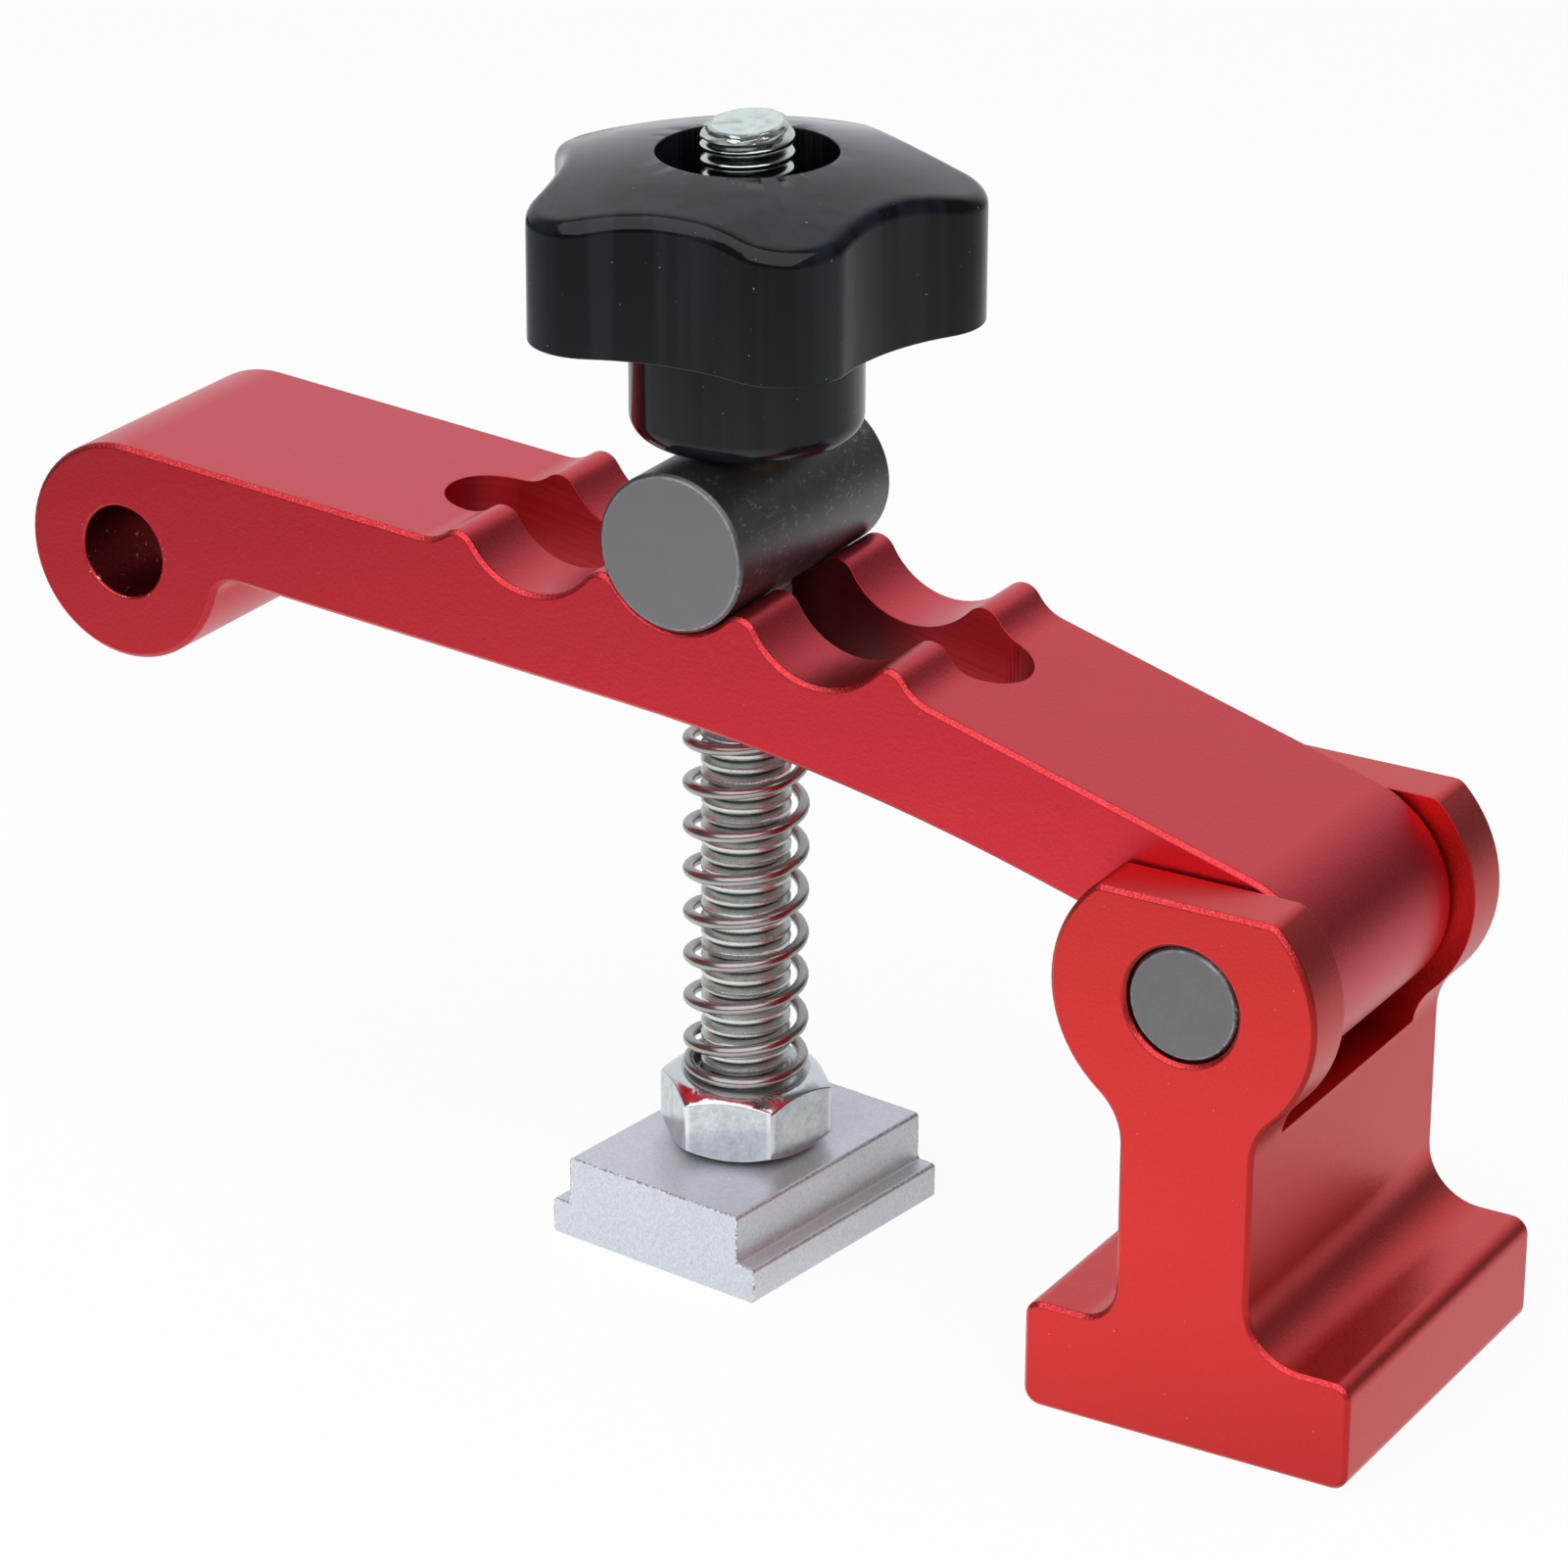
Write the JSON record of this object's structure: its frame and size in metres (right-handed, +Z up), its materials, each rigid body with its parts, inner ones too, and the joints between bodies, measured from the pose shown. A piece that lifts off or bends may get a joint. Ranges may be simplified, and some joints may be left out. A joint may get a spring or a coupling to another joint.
{
  "type": "hold-down clamp",
  "caption": "T-track hold-down clamp: slotted arm with saddle notches on a pinned fork foot, drawn down by a star knob and a cross barrel on a sprung stud in a T-slider.",
  "frame": {"origin": "centre of the T-slider's underside, on the stud's axis", "axes": "+Z up along the stud; +X along the arm from the round nose towards the fork foot; the clevis pin and the barrel lie along Y"},
  "size_m": [0.1351, 0.0382, 0.1015],
  "materials": {
    "red_anodised": "satin",
    "black_steel": "satin",
    "black_plastic": "gloss",
    "brass": "satin",
    "zinc": "gloss",
    "spring_steel": "gloss",
    "silver_anodised": "satin"
  },
  "bodies": {
    "base": {"t_slider": "silver_anodised", "lock_nut": "zinc", "stud": "zinc"},
    "coil": {"spring": "spring_steel"},
    "saddle": {"barrel": "black_steel"},
    "knob_body": {"knob": "black_plastic", "knob_insert": "brass"},
    "arm_body": {"arm": "red_anodised", "clevis_pin": "black_steel"},
    "foot_body": {"fork_foot": "red_anodised"}
  },
  "joints": [
    {"name": "swivel", "type": "hinge", "parent": "base", "child": "coil", "pos_m": [0, 0, 0.0146], "axis": [0, 0, 1], "continuous": true},
    {"name": "lift", "type": "slide", "parent": "coil", "child": "saddle", "axis": [0, 0, 1], "range_m": [-0.015, 0.01], "deforming": ["spring"]},
    {"name": "knob_turn", "type": "hinge", "parent": "saddle", "child": "knob_body", "pos_m": [0, 0, 0.074], "axis": [0, 0, 1], "range_deg": [-4325, 2885]},
    {"name": "arm_tilt", "type": "hinge", "parent": "saddle", "child": "arm_body", "pos_m": [0, 0, 0.0669], "axis": [0, 1, 0], "range_deg": [-20, 12]},
    {"name": "foot_tilt", "type": "hinge", "parent": "arm_body", "child": "foot_body", "pos_m": [0.0514, 0, 0.0399], "axis": [0, 1, 0], "range_deg": [-105, 20]}
  ],
  "couplings": [
    {"joint": "knob_turn", "follows": "lift", "rad_per_m": 5026.5}
  ]
}
